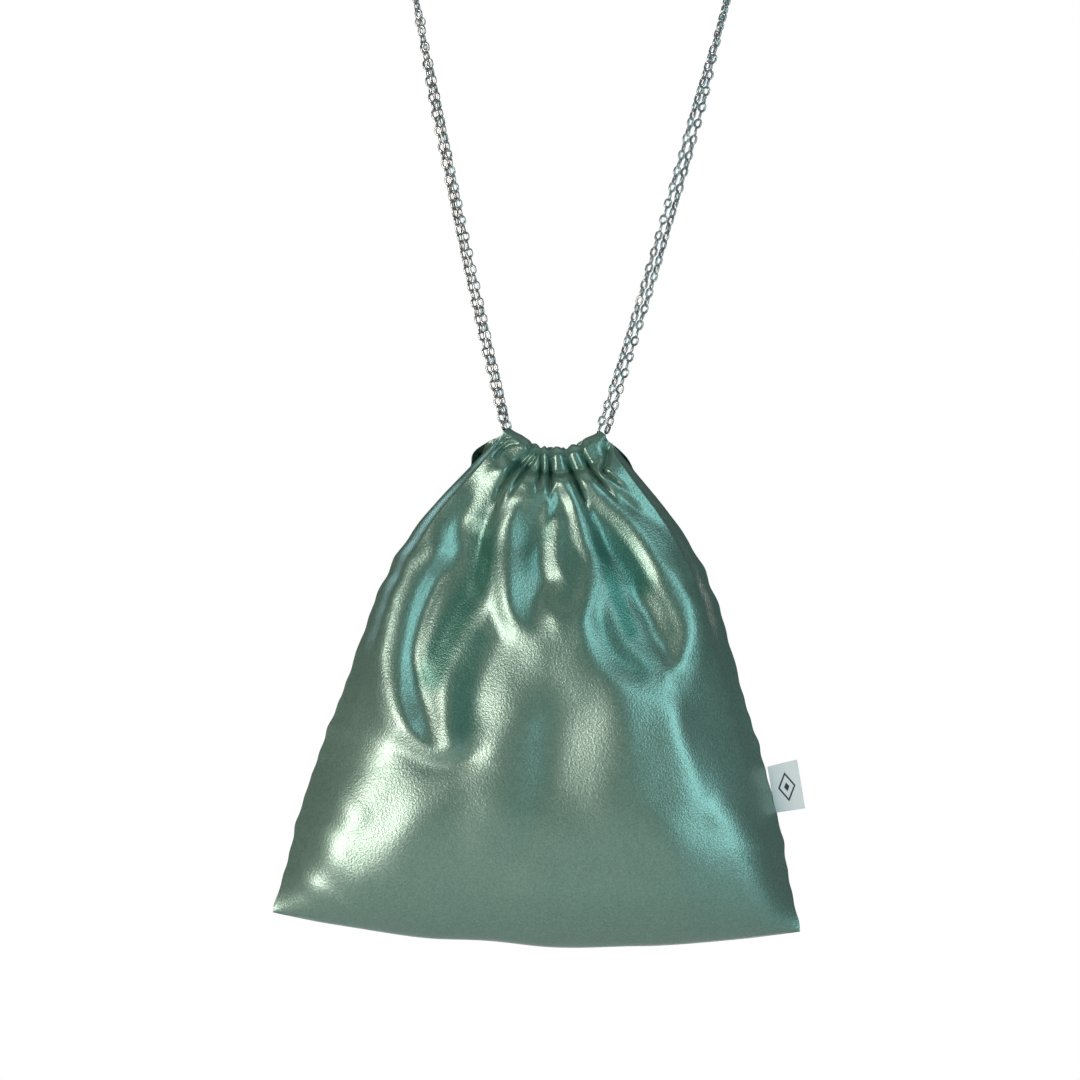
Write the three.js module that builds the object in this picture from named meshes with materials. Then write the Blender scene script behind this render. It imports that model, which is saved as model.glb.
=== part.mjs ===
// A satin drawstring gift sack that hangs from two chains.
//
// The sack is two panels sewn along the sides and the bottom. Their tops are folded over into
// two casings, and each chain is a closed loop: it runs through one casing, leaves at both ends,
// and goes up and over whatever the sack hangs from, so the strap is two chains side by side.
//
// Millimetres. +X is right and +Z is up, and the front of the sack faces -Y. The origin is the
// top of the round support that the strap hangs over, on the underside of the chains.
import * as THREE from 'three';

// ---- Chain ----
const CHAIN_WIDTH = 3.8;
const CHAIN_RADIUS = CHAIN_WIDTH / 2;
const STRAND_OFFSET = 2.1; // from the middle of the strap to each chain's centreline
const RING_RADIUS = 2.2; // the jump ring that closes each chain, to the middle of its wire
const RING_WIRE = 0.42;
const RING_ROOM = RING_RADIUS + RING_WIRE + 0.6;

// ---- Strap ----
const SUPPORT_RADIUS = 73.6; // the rail, arm or shoulder that the strap hangs over
const STRAP_RADIUS = SUPPORT_RADIUS + CHAIN_RADIUS;
const LEAVE_ANGLE = THREE.MathUtils.degToRad(12.3); // the strap leaves the support below its middle
const LEAVE_X = STRAP_RADIUS * Math.cos(LEAVE_ANGLE);
const LEAVE_Z = -SUPPORT_RADIUS - STRAP_RADIUS * Math.sin(LEAVE_ANGLE);
const SWING_ROOM = 1.7; // each side of the line that the legs swing about
const EXIT_Z = -296; // where the chains leave the casings
const LEG_HEIGHT = LEAVE_Z - EXIT_Z;
const LEG_LEAN_TOP = Math.tan(LEAVE_ANGLE);
const LEG_LEAN_BOTTOM = 0.279;
const LEG_CURVE = (LEG_LEAN_BOTTOM - LEG_LEAN_TOP) / (2 * LEG_HEIGHT);
const EXIT_X = LEAVE_X - LEG_LEAN_BOTTOM * LEG_HEIGHT + LEG_CURVE * LEG_HEIGHT ** 2;
const LEG_START = 2; // clear of the casing when the sack tilts
const FRONT_RING_HEIGHT = 190; // above the exit, on the front chain's left leg
const BACK_RING_ANGLE = THREE.MathUtils.degToRad(50); // on the back chain, over the support

// ---- Sack ----
const CORNER_Z = -526.8;
const BOTTOM_SAG = 11.3; // the bottom seam's middle hangs below its corners
const NECK_SAG = 15.1;
const DEPTH = 37; // of each panel at its fullest
const WALL = 1.3;
const SEAM_GAP = 0.3;
const GATHER_HALF = 3; // half the depth of the bundled pleats at the neck
const ALLOWANCE_INSET = 3.5;
const ALLOWANCE_WIDTH = 7;
const ALLOWANCE_HALF = 0.35;

// ---- Casings ----
const CASING_HALF_HEIGHT = 6.75;
const CASING_HALF_DEPTH = 3.5;
const CASING_WALL = 1.2;
const CASING_GAP = 0.9;
const THREAD_HALF = 0.25;

// ---- Label ----
const LABEL_HALF = 0.4;
const LABEL_CURL = 1.2;

const FRONT = -1;
const BACK = 1;
const LEFT = -1;
const RIGHT = 1;

const satin = new THREE.MeshStandardMaterial({ color: 0x79a896, roughness: 0.35, metalness: 0.3 });
const satinInside = new THREE.MeshStandardMaterial({ color: 0x5f8878, roughness: 0.7 });
const thread = new THREE.MeshStandardMaterial({ color: 0x6f9c8b, roughness: 0.6 });
const steel = new THREE.MeshStandardMaterial({ color: 0xb4b6ba, roughness: 0.25, metalness: 1 });
const ribbon = new THREE.MeshStandardMaterial({ color: 0xc9d2d2, roughness: 0.45 });

const sack = new THREE.Group();

function add(name, geometry, material) {
  const mesh = new THREE.Mesh(geometry, material);
  mesh.name = name;
  sack.add(mesh);
  return mesh;
}

const { smoothstep } = THREE.MathUtils;

/** Numbers from low to high in count equal steps. */
function steps(count, low, high) {
  return Array.from({ length: count + 1 }, (_, i) => low + ((high - low) * i) / count);
}

// ---- Closed meshes from rows of points ----

/** A closed geometry from points and four-cornered faces, turned so that its faces point out. */
function closed(points, quads) {
  const triangles = quads.flatMap(([a, b, c, d]) => [[a, b, c], [a, c, d]]);
  let volume = 0;
  for (const [a, b, c] of triangles) {
    volume += points[a].dot(new THREE.Vector3().crossVectors(points[b], points[c]));
  }
  const index = triangles.flatMap((t) => (volume > 0 ? t : [t[0], t[2], t[1]]));
  const geometry = new THREE.BufferGeometry().setFromPoints(points);
  geometry.setIndex(index);
  return geometry;
}

/** The quads of a grid of rows by columns whose first point has that index. */
function gridQuads(rows, columns, first, flipped) {
  const quads = [];
  for (let r = 0; r + 1 < rows; r++) {
    for (let c = 0; c + 1 < columns; c++) {
      const at = first + r * columns + c;
      const quad = [at, at + 1, at + columns + 1, at + columns];
      quads.push(flipped ? quad.reverse() : quad);
    }
  }
  return quads;
}

/** A sheet with two sides: outer and inner are grids of points of one size, joined round the edge. */
function shell(outer, inner) {
  const [rows, columns] = [outer.length, outer[0].length];
  const size = rows * columns;
  const edge = [];
  for (let c = 0; c < columns - 1; c++) edge.push(c);
  for (let r = 0; r < rows - 1; r++) edge.push(r * columns + columns - 1);
  for (let c = columns - 1; c > 0; c--) edge.push((rows - 1) * columns + c);
  for (let r = rows - 1; r > 0; r--) edge.push(r * columns);
  const rim = edge.map((a, i) => {
    const b = edge[(i + 1) % edge.length];
    return [b, a, a + size, b + size];
  });
  const quads = [...gridQuads(rows, columns, 0, false), ...gridQuads(rows, columns, size, true), ...rim];
  return closed([...outer.flat(), ...inner.flat()], quads);
}

/** A pipe: outer and inner are lists of rings of points, and both ends are open. */
function pipe(outer, inner) {
  const [count, around] = [outer.length, outer[0].length];
  const size = count * around;
  const quads = [];
  for (let r = 0; r + 1 < count; r++) {
    for (let k = 0; k < around; k++) {
      const [a, b] = [r * around + k, r * around + ((k + 1) % around)];
      quads.push([a, b, b + around, a + around]);
      quads.push([b + size, a + size, a + around + size, b + around + size]);
    }
  }
  const last = (count - 1) * around;
  for (let k = 0; k < around; k++) {
    const next = (k + 1) % around;
    quads.push([next, k, k + size, next + size]);
    quads.push([last + k, last + next, last + next + size, last + k + size]);
  }
  return closed([...outer.flat(), ...inner.flat()], quads);
}

// ---- Casing centreline, which the chain inside and the top of the panel also follow ----

const CASING_HALF_ROUTE = [
  [21.5, 3.9, -297.5],
  [17.6, 4.9, -303.2],
  [10, 6.2, -307.6],
];
const CASING_MIDDLE = [0, 6.8, -309.2];

function casingCurve(face) {
  const left = CASING_HALF_ROUTE.map(([x, y, z]) => new THREE.Vector3(-x, face * y, z));
  const right = CASING_HALF_ROUTE.map(([x, y, z]) => new THREE.Vector3(x, face * y, z));
  const middle = new THREE.Vector3(0, face * CASING_MIDDLE[1], CASING_MIDDLE[2]);
  return new THREE.CatmullRomCurve3([...left, middle, ...right.reverse()]);
}

/** Centre of the casing at t, its upward direction, and its direction through the cloth. */
function casingFrame(curve, t) {
  const along = curve.getTangentAt(t);
  const up = new THREE.Vector3().crossVectors(along, new THREE.Vector3(0, 1, 0)).normalize();
  const through = new THREE.Vector3().crossVectors(up, along).normalize();
  return { centre: curve.getPointAt(t), up, through };
}

const CASING_STEPS = 20;
const CASING_SIDES = 12;
const CASING_SQUARENESS = 0.8; // 1 is an ellipse, less is squarer

function casingRing(frame, halfHeight, halfDepth) {
  const squared = (x) => Math.sign(x) * Math.abs(x) ** CASING_SQUARENESS;
  return steps(CASING_SIDES, 0, 2 * Math.PI).slice(0, -1).map((angle) =>
    frame.centre.clone()
      .addScaledVector(frame.through, halfDepth * squared(Math.cos(angle)))
      .addScaledVector(frame.up, halfHeight * squared(Math.sin(angle))),
  );
}

function casing(face) {
  const curve = casingCurve(face);
  const frames = steps(CASING_STEPS, 0, 1).map((t) => casingFrame(curve, t));
  const outer = frames.map((f) => casingRing(f, CASING_HALF_HEIGHT, CASING_HALF_DEPTH));
  const inner = frames.map((f) =>
    casingRing(f, CASING_HALF_HEIGHT - CASING_WALL, CASING_HALF_DEPTH - CASING_WALL));
  return pipe(outer, inner);
}

/** A square-sectioned thread along the outside of the casing, on its stitched edge. */
function casingStitching(face) {
  const curve = casingCurve(face);
  const stitchDrop = 5.2;
  const stitchOut = CASING_HALF_DEPTH + 0.6;
  const sides = [[-1, -1], [1, -1], [1, 1], [-1, 1]];
  const rows = steps(CASING_STEPS, 0.03, 0.97).map((t) => {
    const { centre, up, through } = casingFrame(curve, t);
    return sides.map(([a, b]) => centre.clone()
      .addScaledVector(up, -stitchDrop + a * THREAD_HALF)
      .addScaledVector(through, face * stitchOut + b * THREAD_HALF));
  });
  return shell(rows.map((r) => [r[0], r[1]]), rows.map((r) => [r[3], r[2]]));
}

// ---- Panels ----

// The side seam: half the sack's width, and the height above the bottom corners.
const sideSeam = new THREE.SplineCurve([
  [124, 0], [117.4, 28], [112, 52], [104.5, 77], [95, 105], [86, 134],
  [75.5, 163], [61, 187], [45, 206], [34.5, 217], [27.4, 225.3],
].map(([x, h]) => new THREE.Vector2(x, h)));

/** Depth of a panel's middle column at v, from 0 at the bottom seam to 1 at the neck. */
function depthAt(v) {
  return DEPTH * Math.sin(Math.PI * Math.min(v ** 0.75, 1)) ** 0.7;
}

/** How full the panel is at u, from -1 at the left seam to 1 at the right one. */
function fullness(u) {
  return Math.max(0, 1 - Math.abs(u) ** 2.3) ** 0.65;
}

/** A point of a panel. inset is how far the surface lies inside the outer one, in wall thicknesses. */
function panelPoint(face, curve, u, v, inset) {
  const seam = sideSeam.getPointAt(v);
  const sag = (1 - u * u) * (BOTTOM_SAG * (1 - v) ** 3 + NECK_SAG * v ** 6);
  const body = new THREE.Vector3(
    (seam.x - inset * WALL) * u,
    face * (SEAM_GAP / 2 + depthAt(v) * (1 - (inset * WALL) / DEPTH) * fullness(u)),
    CORNER_Z + seam.y - sag + inset * WALL * (1 - v) ** 8,
  );
  const { centre, up } = casingFrame(curve, (u + 1) / 2);
  const neck = centre.clone().addScaledVector(up, -(CASING_HALF_HEIGHT + CASING_GAP));
  neck.y += face * GATHER_HALF * (1 - 2 * inset);
  return body.lerp(neck, smoothstep(v, 0.82, 1));
}

const PANEL_ROWS = steps(20, 0, 1);
const PANEL_COLUMNS = steps(22, -1, 1).map((s) => Math.sin((s * Math.PI) / 2));

function panel(face) {
  const curve = casingCurve(face);
  const grid = (inset) =>
    PANEL_ROWS.map((v) => PANEL_COLUMNS.map((u) => panelPoint(face, curve, u, v, inset)));
  return shell(grid(0), grid(1));
}

// ---- Seam allowances, the strips of both panels' cloth inside the seams ----

function strip(pairs) {
  const side = (y) => pairs.map(([a, b]) => [a, b].map((p) => new THREE.Vector3(p[0], y, p[1])));
  return shell(side(-ALLOWANCE_HALF), side(ALLOWANCE_HALF));
}

function sideAllowance(side) {
  return strip(steps(12, 0.07, 0.84).map((v) => {
    const seam = sideSeam.getPointAt(v);
    const outside = seam.x - ALLOWANCE_INSET;
    return [[side * outside, CORNER_Z + seam.y], [side * (outside - ALLOWANCE_WIDTH), CORNER_Z + seam.y]];
  }));
}

function bottomAllowance() {
  const halfWidth = sideSeam.getPoint(0).x;
  return strip(steps(14, -0.88, 0.88).map((u) => {
    const bottom = CORNER_Z - BOTTOM_SAG * (1 - u * u) + ALLOWANCE_INSET;
    return [[halfWidth * u, bottom], [halfWidth * u, bottom + ALLOWANCE_WIDTH]];
  }));
}

// ---- Label, a ribbon folded double and caught in the right side seam ----

function label() {
  const corners = {
    rootTop: [106.8, -449.6], tipTop: [119.5, -445.9],
    rootBottom: [111.4, -471.1], tipBottom: [124.1, -468.7],
  };
  const at = (out, down, y) => {
    const mix = (k) => THREE.MathUtils.lerp(
      THREE.MathUtils.lerp(corners.rootTop[k], corners.tipTop[k], out),
      THREE.MathUtils.lerp(corners.rootBottom[k], corners.tipBottom[k], out),
      down,
    );
    return new THREE.Vector3(mix(0), y - LABEL_CURL * out * out, mix(1));
  };
  const side = (y) => steps(5, 0, 1).map((out) => steps(2, 0, 1).map((down) => at(out, down, y)));
  return shell(side(-LABEL_HALF), side(LABEL_HALF));
}

// ---- Chains ----

const chainSection = new THREE.Shape(
  steps(8, 0, 2 * Math.PI).slice(0, -1).map((angle) =>
    new THREE.Vector2(CHAIN_RADIUS * Math.cos(angle), CHAIN_RADIUS * Math.sin(angle))),
);

/** The outer shape of a stretch of chain that follows these points. */
function chainStretch(points) {
  const path = new THREE.CatmullRomCurve3(points);
  const stepLength = 2.4 * CHAIN_WIDTH;
  const count = Math.max(2, Math.round(path.getLength() / stepLength));
  return new THREE.ExtrudeGeometry(chainSection, { steps: count, bevelEnabled: false, extrudePath: path });
}

/** How the two strands of a leg lie beside each other: distance from its middle, and direction. */
function strandPlace(side, height) {
  const nearExit = Math.exp(-height / 7);
  const nearTop = smoothstep(height / LEG_HEIGHT, 0.72, 0.96);
  const middleTurn = side === LEFT ? 52 : 32;
  const turn = THREE.MathUtils.lerp(middleTurn + 20 * nearExit, 90, nearTop);
  return { distance: STRAND_OFFSET + 1.2 * nearExit, turn: THREE.MathUtils.degToRad(turn) };
}

/** A point on one chain's leg, at a height above the exit. */
function legPoint(face, side, height) {
  const { distance, turn } = strandPlace(side, height);
  const middle = EXIT_X + LEG_LEAN_BOTTOM * height - LEG_CURVE * height ** 2;
  return new THREE.Vector3(
    side * (middle + face * distance * Math.cos(turn)),
    face * distance * Math.sin(turn),
    EXIT_Z + height,
  );
}

function leg(face, side, low, high) {
  const count = Math.max(2, Math.round((high - low) / 15));
  return chainStretch(steps(count, low, high).map((height) => legPoint(face, side, height)));
}

/** A point on one chain over the support. The angle is 0 at the right, and a quarter turn on top. */
function overPoint(face, angle, lift = 0) {
  const radius = STRAP_RADIUS + lift;
  return new THREE.Vector3(
    radius * Math.cos(angle), face * STRAND_OFFSET, -SUPPORT_RADIUS + radius * Math.sin(angle));
}

function over(face, from, to) {
  return chainStretch(steps(16, from, to).map((angle) => overPoint(face, angle)));
}

const swingAngle = SWING_ROOM / STRAP_RADIUS;
const OVER_START = -LEAVE_ANGLE + swingAngle;
const OVER_END = Math.PI + LEAVE_ANGLE - swingAngle;
const LEG_TOP = LEG_HEIGHT - SWING_ROOM;

function ring(centre, spin) {
  const geometry = new THREE.TorusGeometry(RING_RADIUS, RING_WIRE, 8, 20);
  geometry.rotateX(Math.PI / 2);
  geometry.rotateY(spin);
  return geometry.translate(centre.x, centre.y, centre.z);
}

// ---- The object ----

for (const [face, name] of [[FRONT, 'front'], [BACK, 'back']]) {
  add(`${name}_panel`, panel(face), satin);
  add(`${name}_casing`, casing(face), satin);
  add(`${name}_casing_stitching`, casingStitching(face), thread);
  const run = casingCurve(face);
  add(`${name}_chain_casing_run`, chainStretch(steps(10, 0.09, 0.91).map((t) => run.getPointAt(t))), steel);
  add(`${name}_chain_right_leg`, leg(face, RIGHT, LEG_START, LEG_TOP), steel);
}
add('left_seam_allowance', sideAllowance(LEFT), satinInside);
add('right_seam_allowance', sideAllowance(RIGHT), satinInside);
add('bottom_seam_allowance', bottomAllowance(), satinInside);
add('side_label', label(), ribbon);

add('front_chain_left_leg', leg(FRONT, LEFT, LEG_START, FRONT_RING_HEIGHT - RING_ROOM), steel);
add('front_chain_ring', ring(legPoint(FRONT, LEFT, FRONT_RING_HEIGHT), 0), steel);
add('front_chain_left_end', leg(FRONT, LEFT, FRONT_RING_HEIGHT + RING_ROOM, LEG_TOP), steel);
add('front_chain_top', over(FRONT, OVER_START, OVER_END), steel);

const ringAngle = RING_ROOM / STRAP_RADIUS;
add('back_chain_left_leg', leg(BACK, LEFT, LEG_START, LEG_TOP), steel);
add('back_chain_top_right', over(BACK, OVER_START, BACK_RING_ANGLE - ringAngle), steel);
add('back_chain_ring', ring(overPoint(BACK, BACK_RING_ANGLE, RING_RADIUS + RING_WIRE - CHAIN_RADIUS), 0), steel);
add('back_chain_top_left', over(BACK, BACK_RING_ANGLE + ringAngle, OVER_END), steel);

export default sack;
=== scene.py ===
"""A satin drawstring gift sack on a strap of two cable chains."""
import math

import bpy
import numpy as np
from mathutils import Matrix, Vector, noise


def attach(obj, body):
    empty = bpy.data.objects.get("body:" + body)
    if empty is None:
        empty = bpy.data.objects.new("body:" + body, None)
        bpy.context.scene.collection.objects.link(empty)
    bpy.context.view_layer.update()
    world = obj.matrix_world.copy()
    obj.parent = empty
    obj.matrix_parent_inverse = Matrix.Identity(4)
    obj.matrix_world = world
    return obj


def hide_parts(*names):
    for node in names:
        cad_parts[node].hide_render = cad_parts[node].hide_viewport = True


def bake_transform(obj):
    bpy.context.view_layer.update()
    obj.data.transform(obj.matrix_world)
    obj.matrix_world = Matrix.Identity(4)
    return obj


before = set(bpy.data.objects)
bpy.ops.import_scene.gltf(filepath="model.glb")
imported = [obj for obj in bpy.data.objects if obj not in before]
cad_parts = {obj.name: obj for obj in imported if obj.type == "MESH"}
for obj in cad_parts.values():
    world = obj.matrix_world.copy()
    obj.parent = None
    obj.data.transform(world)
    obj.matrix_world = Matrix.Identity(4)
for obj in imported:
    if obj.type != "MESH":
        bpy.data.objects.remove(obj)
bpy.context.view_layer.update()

MM = 0.001

# ---- The frame's own dimensions, in millimetres, as in the CAD model ----
CHAIN_WIDTH = 3.8
CHAIN_RADIUS = CHAIN_WIDTH / 2
STRAND_OFFSET = 2.1
RING_RADIUS = 2.2
RING_WIRE = 0.42
SUPPORT_RADIUS = 73.6
STRAP_RADIUS = SUPPORT_RADIUS + CHAIN_RADIUS
LEAVE_ANGLE = math.radians(12.3)
LEAVE_X = STRAP_RADIUS * math.cos(LEAVE_ANGLE)
LEAVE_Z = -SUPPORT_RADIUS - STRAP_RADIUS * math.sin(LEAVE_ANGLE)
EXIT_Z = -296
LEG_HEIGHT = LEAVE_Z - EXIT_Z
LEG_LEAN_TOP = math.tan(LEAVE_ANGLE)
LEG_LEAN_BOTTOM = 0.279
LEG_CURVE = (LEG_LEAN_BOTTOM - LEG_LEAN_TOP) / (2 * LEG_HEIGHT)
EXIT_X = LEAVE_X - LEG_LEAN_BOTTOM * LEG_HEIGHT + LEG_CURVE * LEG_HEIGHT**2
FRONT_RING_HEIGHT = 190
BACK_RING_ANGLE = math.radians(50)

CORNER_Z = -526.8
BOTTOM_SAG = 11.3
NECK_SAG = 15.1
DEPTH = 37
SEAM_GAP = 0.06
CASING_HALF_HEIGHT = 6.75

FRONT, BACK = -1, 1
LEFT, RIGHT = -1, 1


def smoothstep(x, low, high):
    t = np.clip((np.asarray(x, float) - low) / (high - low), 0, 1)
    return t * t * (3 - 2 * t)


def smooth_curve(points, count):
    """Points at equal distances along a Catmull-Rom curve through these ones."""
    p = np.array(points, float)
    p = np.vstack([2 * p[0] - p[1], p, 2 * p[-1] - p[-2]])
    dense = []
    for a, b, c, d in zip(p[:-3], p[1:-2], p[2:-1], p[3:]):
        t = np.linspace(0, 1, 24, endpoint=False)[:, None]
        dense.append(0.5 * (2 * b + (c - a) * t + (2 * a - 5 * b + 4 * c - d) * t**2
                            + (3 * b - a - 3 * c + d) * t**3))
    dense = np.vstack([*dense, p[-2:-1]])
    length = np.concatenate([[0], np.cumsum(np.linalg.norm(np.diff(dense, axis=0), axis=1))])
    at = np.linspace(0, length[-1], count)
    return np.stack([np.interp(at, length, dense[:, k]) for k in range(dense.shape[1])], axis=1)


def directions(points):
    """Unit direction of the line at each of its points."""
    step = np.gradient(points, axis=0)
    return step / np.linalg.norm(step, axis=1)[:, None]


def mesh_object(name, points, faces, smooth=True):
    """A mesh from points in millimetres."""
    mesh = bpy.data.meshes.new(name)
    mesh.from_pydata((np.asarray(points) * MM).tolist(), [], [list(f) for f in faces])
    mesh.polygons.foreach_set("use_smooth", [smooth] * len(mesh.polygons))
    mesh.update()
    obj = bpy.data.objects.new(name, mesh)
    bpy.context.collection.objects.link(obj)
    return obj


def grid_faces(rows, columns, wrap=False, flip=False):
    faces = []
    for r in range(rows - 1):
        for c in range(columns if wrap else columns - 1):
            d = (c + 1) % columns
            face = (r * columns + c, r * columns + d, (r + 1) * columns + d, (r + 1) * columns + c)
            faces.append(face[::-1] if flip else face)
    return faces


# ---- Camera ----

FRAME_WIDTH = 507.6
CAMERA_DISTANCE = 1600
CAMERA_ROLL = math.radians(2.1)

camera_data = bpy.data.cameras.new("camera")
camera_data.sensor_width = 36
camera_data.lens = 36 * CAMERA_DISTANCE / FRAME_WIDTH
camera_data.clip_end = 20
camera = bpy.data.objects.new("camera", camera_data)
camera.matrix_world = (Matrix.Translation(Vector((-4.9, -CAMERA_DISTANCE, -347.3)) * MM)
                       @ Matrix.Rotation(math.radians(90), 4, "X") @ Matrix.Rotation(CAMERA_ROLL, 4, "Z"))
bpy.context.collection.objects.link(camera)
bpy.context.scene.camera = camera

# ---- Chains ----

LINK_PITCH = 3.95
LINK_LENGTH = 4.95
LINK_WIRE = 0.62
LINK_TWIST = 0.05


def strand_place(side, height):
    near_exit = math.exp(-height / 7)
    near_top = float(smoothstep(height / LEG_HEIGHT, 0.72, 0.96))
    middle_turn = 52 if side == LEFT else 32
    turn = (1 - near_top) * (middle_turn + 20 * near_exit) + near_top * 90
    return STRAND_OFFSET + 1.2 * near_exit, math.radians(turn)


def leg_point(face, side, height):
    distance, turn = strand_place(side, height)
    middle = EXIT_X + LEG_LEAN_BOTTOM * height - LEG_CURVE * height**2
    x = middle + face * distance * math.cos(turn)
    return (side * x, face * distance * math.sin(turn), EXIT_Z + height)


def over_point(face, angle):
    return (STRAP_RADIUS * math.cos(angle), face * STRAND_OFFSET,
            -SUPPORT_RADIUS + STRAP_RADIUS * math.sin(angle))


def strap_route(face):
    """From the left exit up over the support and down to the right exit."""
    heights = np.linspace(0, LEG_HEIGHT, 15)
    angles = np.linspace(math.pi + LEAVE_ANGLE, -LEAVE_ANGLE, 20)[1:-1]
    left = [leg_point(face, LEFT, h) for h in heights]
    right = [leg_point(face, RIGHT, h) for h in heights[::-1]]
    return left + [over_point(face, a) for a in angles] + right


CASING_HALF_ROUTE = [(21.5, 3.9, -297.5), (17.6, 4.9, -303.2), (10, 6.2, -307.6)]
CASING_MIDDLE = (0, 6.8, -309.2)


def casing_route(face):
    left = [(-x, face * y, z) for x, y, z in CASING_HALF_ROUTE]
    right = [(x, face * y, z) for x, y, z in CASING_HALF_ROUTE[::-1]]
    return [*left, (0, face * CASING_MIDDLE[1], CASING_MIDDLE[2]), *right]


def link_shape():
    """One oval link, along X and flat in XY."""
    straight = (LINK_LENGTH - CHAIN_WIDTH) / 2
    bend = CHAIN_RADIUS - LINK_WIRE
    around, wire = 18, 8
    points = []
    for a in np.linspace(0, 2 * math.pi, around, endpoint=False):
        out = np.array([math.cos(a), math.sin(a), 0])
        centre = np.array([straight * np.sign(math.cos(a)), 0, 0]) + bend * out
        for b in np.linspace(0, 2 * math.pi, wire, endpoint=False):
            points.append(centre + LINK_WIRE * (math.cos(b) * out + math.sin(b) * np.array([0, 0, 1])))
    faces = [(i * wire + j, i * wire + (j + 1) % wire,
              (i + 1) % around * wire + (j + 1) % wire, (i + 1) % around * wire + j)
             for i in range(around) for j in range(wire)]
    return np.array(points), faces


def jump_ring(name, centre, axis):
    """A round ring of wire, cut through at one place."""
    centre, axis = np.array(centre, float), np.array(axis, float)
    side = np.cross(axis, (0, 0, 1))
    side /= np.linalg.norm(side)
    other = np.cross(axis, side)
    points = []
    around, wire = 64, 12
    for a in np.linspace(0.06, 2 * math.pi - 0.06, around) + 1.1:
        out = math.cos(a) * side + math.sin(a) * other
        for b in np.linspace(0, 2 * math.pi, wire, endpoint=False):
            from_wire = RING_WIRE * (math.cos(b) * out + math.sin(b) * axis)
            points.append(centre + RING_RADIUS * out + from_wire)
    faces = grid_faces(around, wire, wrap=True)
    faces += [tuple(range(wire))[::-1], tuple(range((around - 1) * wire, around * wire))]
    return mesh_object(name, points, faces)


def chain(name, route, start_turn, seed, ring_at=None):
    """Interlocked links along a route: each one is turned a quarter turn from the last. A jump ring
    takes the place of the link nearest to ring_at. Gives the chain, its line and the ring's centre."""
    length = np.linalg.norm(np.diff(smooth_curve(route, 400), axis=0), axis=1).sum()
    count = round(length / LINK_PITCH)
    line = smooth_curve(route, count + 1)
    centres = (line[:-1] + line[1:]) / 2
    along = directions(line)[:-1]
    shape, shape_faces = link_shape()
    random = np.random.default_rng(seed)
    points, faces = [], []
    turn = start_turn
    missing = None if ring_at is None else np.linalg.norm(centres - ring_at, axis=1).argmin()
    for i, (centre, x) in enumerate(zip(centres, along)):
        if i == missing:
            continue
        y = np.cross((0, 1, 0), x)
        y /= np.linalg.norm(y)
        z = np.cross(x, y)
        angle = turn + math.pi / 2 * (i % 2) + random.normal(0, 0.12)
        turn += LINK_TWIST
        c, s = math.cos(angle), math.sin(angle)
        y, z = c * y + s * z, -s * y + c * z
        tip = random.normal(0, 0.05)
        x = math.cos(tip) * x + math.sin(tip) * z
        z = np.cross(x, y)
        faces += [tuple(k + len(points) * len(shape) for k in f) for f in shape_faces]
        points.append(centre + shape @ np.stack([x, y, z]))
    piece = mesh_object(name, np.vstack(points), faces)
    return piece, line, None if missing is None else centres[missing]


CHAIN_NODES = {"front": ["left_leg", "left_end", "top", "right_leg"],
               "back": ["left_leg", "top_left", "top_right", "right_leg"]}
RING_PLACES = {"front": (leg_point(FRONT, LEFT, FRONT_RING_HEIGHT), "strap_legs"),
               "back": (over_point(BACK, BACK_RING_ANGLE), "strap_top")}

chains = []
for face, name, turn in ((FRONT, "front", 0.5), (BACK, "back", 1.2)):
    ring_at, ring_body = RING_PLACES[name]
    piece, line, ring_centre = chain(f"{name}_chain", strap_route(face), turn, 3 + face, ring_at)
    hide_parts(*[f"{name}_chain_{n}" for n in CHAIN_NODES[name]])
    ring = jump_ring(f"{name}_jump_ring", ring_centre, (0, -1, 0))
    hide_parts(f"{name}_chain_ring")
    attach(ring, ring_body)
    run, _, _ = chain(f"{name}_chain_run", casing_route(face), turn, 7 + face)
    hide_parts(f"{name}_chain_casing_run")
    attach(run, f"{name}_lip")
    chains += [piece, ring, run]

# ---- Folds of the cloth ----
# The front's folds are given by where its cloth turns to one side: to the left and a little down,
# or to the right and a little up. Each has its slope, the width of one side, and a line of points
# (x, z) in millimetres, walked downwards from the neck. The folds' heights follow from the slopes.
WARM, COOL, DOWN = (-1, -0.35), (1, 0.35), (-0.5, -0.87)
BROAD_WARM, BROAD_COOL = (-2, -1.4), (2, 0.9)

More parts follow.
